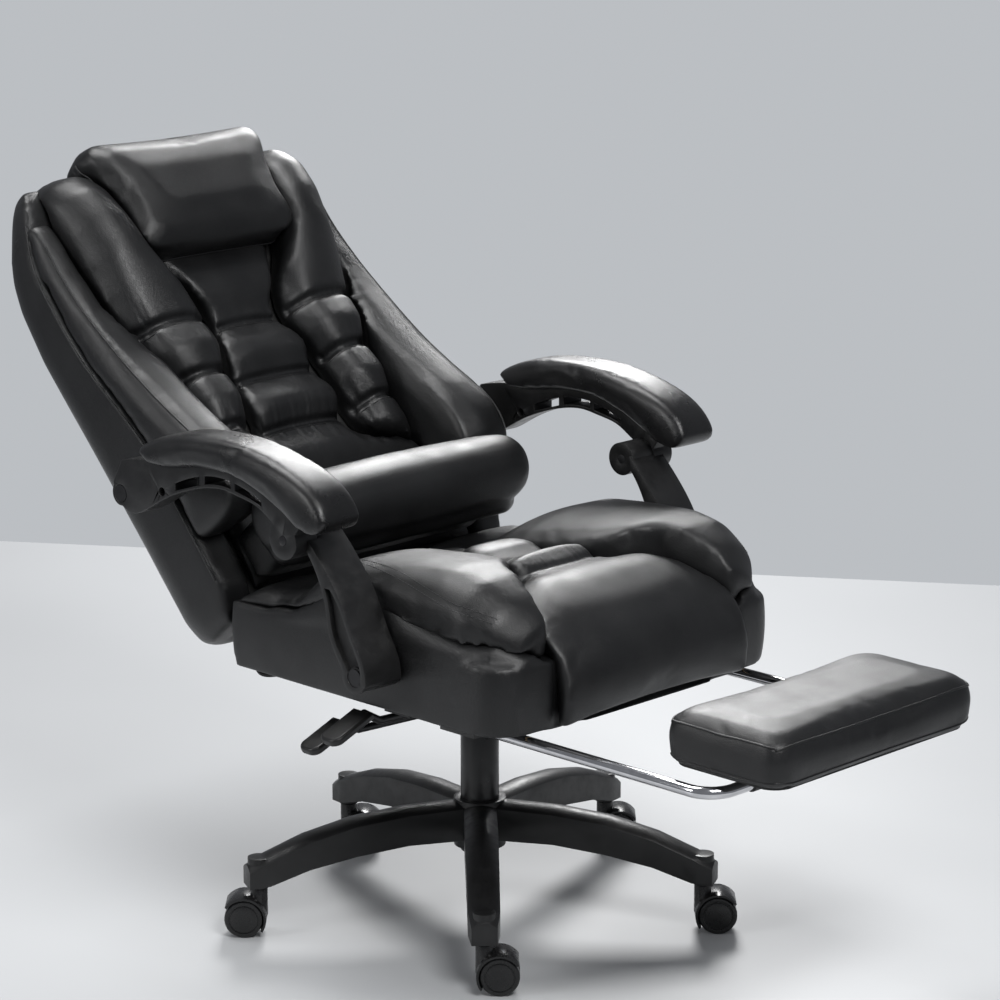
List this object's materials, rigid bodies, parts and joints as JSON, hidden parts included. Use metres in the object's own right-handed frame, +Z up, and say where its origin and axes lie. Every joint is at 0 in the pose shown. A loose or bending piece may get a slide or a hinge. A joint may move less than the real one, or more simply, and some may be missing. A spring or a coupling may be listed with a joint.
{
  "type": "reclining office chair",
  "caption": "Reclining office chair in black leather look with linked armrests, head and lumbar pillows, a pull-out footrest and a star base on casters.",
  "frame": {"origin": "on the floor, under the axis of the gas lift", "axes": "+Z up, the sitter looks along -Y, +X to the sitter's left"},
  "size_m": [0.716, 1.3101, 0.9601],
  "materials": {
    "leather": "glossy black synthetic leather, fine grain, soft sheen",
    "black_plastic": "satin black moulded plastic",
    "soft_pad": "satin black self-skinned foam",
    "black_steel": "black powder coat",
    "steel": "zinc plated or ground steel",
    "chrome_tube": "bright chrome plated rod",
    "plywood": "plain plywood",
    "liner": "black non-woven dust cover",
    "cable_black": "black cable sheath",
    "caster_plastic": "black nylon with a satin gloss"
  },
  "bodies": {
    "base": {"star_base": "black_plastic", "caster_stems": "steel", "gas_outer_tube": "black_steel", "gas_guide_sleeve": "black_plastic", "thrust_bearing": "steel"},
    "gas_rod": {"gas_piston_rod": "steel", "rod_clip": "steel"},
    "seat": {"gas_pressure_tube": "steel", "mechanism_housing": "black_steel", "mechanism_bolts": "steel", "seat_chassis": "black_steel", "seat_board": "plywood", "seat_dust_cover": "liner", "seat_boxing": "leather", "seat_center_pad": "leather", "seat_bolster_left": "leather", "seat_bolster_right": "leather", "footrest_guides": "black_plastic", "strut_pivot_bolts": "steel", "recline_cable": "cable_black", "hinge_pins": "steel"},
    "lift_button": {"lift_release_button": "steel"},
    "height_lever": {"height_lever_rod": "black_steel", "height_lever_paddle": "black_plastic"},
    "recline_lever": {"recline_lever_rod": "black_steel", "recline_lever_paddle": "black_plastic"},
    "clamp_lever": {"recline_clamp_lever": "black_steel"},
    "footrest_slider": {"footrest_frame": "chrome_tube"},
    "footrest_panel": {"footrest_pad": "leather", "footrest_board": "plywood", "footrest_clips": "black_plastic"},
    "back": {"back_rear_shell": "leather", "back_board": "plywood", "back_center_pad": "leather", "back_bolster_left": "leather", "back_bolster_right": "leather", "back_side_panel_left": "leather", "back_side_panel_right": "leather", "back_hinge_brackets": "black_steel", "headrest_pillow": "leather", "lumbar_pillow": "leather", "arm_rear_bolts": "steel"},
    "strut_left": {"arm_strut_left": "black_plastic"},
    "arm_left": {"arm_frame_left": "black_plastic", "arm_pad_left": "soft_pad", "knuckle_pin_left": "steel"},
    "strut_right": {"arm_strut_right": "black_plastic"},
    "arm_right": {"arm_frame_right": "black_plastic", "arm_pad_right": "soft_pad", "knuckle_pin_right": "steel"},
    "caster_1": {"caster_hood_1": "caster_plastic"},
    "caster_wheels_1": {"caster_wheels_1": "caster_plastic"},
    "caster_2": {"caster_hood_2": "caster_plastic"},
    "caster_wheels_2": {"caster_wheels_2": "caster_plastic"},
    "caster_3": {"caster_hood_3": "caster_plastic"},
    "caster_wheels_3": {"caster_wheels_3": "caster_plastic"},
    "caster_4": {"caster_hood_4": "caster_plastic"},
    "caster_wheels_4": {"caster_wheels_4": "caster_plastic"},
    "caster_5": {"caster_hood_5": "caster_plastic"},
    "caster_wheels_5": {"caster_wheels_5": "caster_plastic"}
  },
  "joints": [
    {"name": "seat_swivel", "type": "hinge", "parent": "base", "child": "gas_rod", "pos_m": [0, 0, 0.09], "axis": [0, 0, 1], "continuous": true},
    {"name": "seat_lift", "type": "slide", "parent": "gas_rod", "child": "seat", "axis": [0, 0, 1], "range_m": [0, 0.08]},
    {"name": "lift_button", "type": "slide", "parent": "seat", "child": "lift_button", "axis": [0, 0, -1], "range_m": [0, 0.00262], "stiffness_N_per_m": 800},
    {"name": "height_lever", "type": "hinge", "parent": "seat", "child": "height_lever", "pos_m": [-0.05, -0.036, 0.306], "axis": [0, 1, 0], "range_deg": [0, 3.5], "stiffness_Nm_per_rad": 6, "springref_deg": -4.58},
    {"name": "recline_lever", "type": "hinge", "parent": "seat", "child": "recline_lever", "pos_m": [-0.05, 0.002, 0.286], "axis": [0, 1, 0], "range_deg": [0, 4], "stiffness_Nm_per_rad": 6, "springref_deg": -4.58},
    {"name": "clamp_lever", "type": "hinge", "parent": "seat", "child": "clamp_lever", "pos_m": [-0.19, 0.2305, 0.35717], "axis": [-1, 0, 0], "range_deg": [0, 12], "stiffness_Nm_per_rad": 1},
    {"name": "back_recline", "type": "hinge", "parent": "seat", "child": "back", "pos_m": [0, 0.2, 0.41], "axis": [1, 0, 0], "range_deg": [0, 26]},
    {"name": "footrest_slide", "type": "slide", "parent": "seat", "child": "footrest_slider", "axis": [0, 1, 0], "range_m": [0, 0.335]},
    {"name": "footrest_flip", "type": "hinge", "parent": "footrest_slider", "child": "footrest_panel", "pos_m": [0, -0.572, 0.3335], "axis": [1, 0, 0], "range_deg": [0, 180]},
    {"name": "strut_left", "type": "hinge", "parent": "seat", "child": "strut_left", "pos_m": [0.29, -0.105, 0.403], "axis": [1, 0, 0], "range_deg": [0, 26]},
    {"name": "arm_left", "type": "hinge", "parent": "strut_left", "child": "arm_left", "pos_m": [0.31, -0.002, 0.559], "axis": [1, 0, 0], "range_deg": [-26, 0]},
    {"name": "strut_right", "type": "hinge", "parent": "seat", "child": "strut_right", "pos_m": [-0.29, -0.105, 0.403], "axis": [1, 0, 0], "range_deg": [0, 26]},
    {"name": "arm_right", "type": "hinge", "parent": "strut_right", "child": "arm_right", "pos_m": [-0.31, -0.002, 0.559], "axis": [1, 0, 0], "range_deg": [-26, 0]},
    {"name": "caster_swivel_1", "type": "hinge", "parent": "base", "child": "caster_1", "pos_m": [-0.26895, 0.13292, 0.055], "axis": [0, 0, 1], "continuous": true},
    {"name": "caster_roll_1", "type": "hinge", "parent": "caster_1", "child": "caster_wheels_1", "pos_m": [-0.28222, 0.14652, 0.025], "axis": [-0.7157, -0.6984, 0], "continuous": true},
    {"name": "caster_swivel_2", "type": "hinge", "parent": "base", "child": "caster_2", "pos_m": [-0.20952, -0.21471, 0.055], "axis": [0, 0, 1], "continuous": true},
    {"name": "caster_roll_2", "type": "hinge", "parent": "caster_2", "child": "caster_wheels_2", "pos_m": [-0.19626, -0.22831, 0.025], "axis": [0.7157, 0.6984, 0], "continuous": true},
    {"name": "caster_swivel_3", "type": "hinge", "parent": "base", "child": "caster_3", "pos_m": [0.13945, -0.26562, 0.055], "axis": [0, 0, 1], "continuous": true},
    {"name": "caster_roll_3", "type": "hinge", "parent": "caster_3", "child": "caster_wheels_3", "pos_m": [0.15272, -0.27922, 0.025], "axis": [0.7157, 0.6984, 0], "continuous": true},
    {"name": "caster_swivel_4", "type": "hinge", "parent": "base", "child": "caster_4", "pos_m": [0.29571, 0.05055, 0.055], "axis": [0, 0, 1], "continuous": true},
    {"name": "caster_roll_4", "type": "hinge", "parent": "caster_4", "child": "caster_wheels_4", "pos_m": [0.30898, 0.03695, 0.025], "axis": [0.7157, 0.6984, 0], "continuous": true},
    {"name": "caster_swivel_5", "type": "hinge", "parent": "base", "child": "caster_5", "pos_m": [0.04331, 0.29686, 0.055], "axis": [0, 0, 1], "continuous": true},
    {"name": "caster_roll_5", "type": "hinge", "parent": "caster_5", "child": "caster_wheels_5", "pos_m": [0.05658, 0.28326, 0.025], "axis": [0.7157, 0.6984, 0], "continuous": true}
  ],
  "couplings": [
    {"joint": "lift_button", "follows": "height_lever", "m_per_rad": 0.0428},
    {"joint": "clamp_lever", "follows": "recline_lever", "ratio": 2.99},
    {"joint": "footrest_flip", "follows": "footrest_slide", "rad_per_m": 9.3779},
    {"joint": "strut_left", "follows": "back_recline", "ratio": 1},
    {"joint": "arm_left", "follows": "back_recline", "ratio": -1},
    {"joint": "strut_right", "follows": "back_recline", "ratio": 1},
    {"joint": "arm_right", "follows": "back_recline", "ratio": -1}
  ]
}
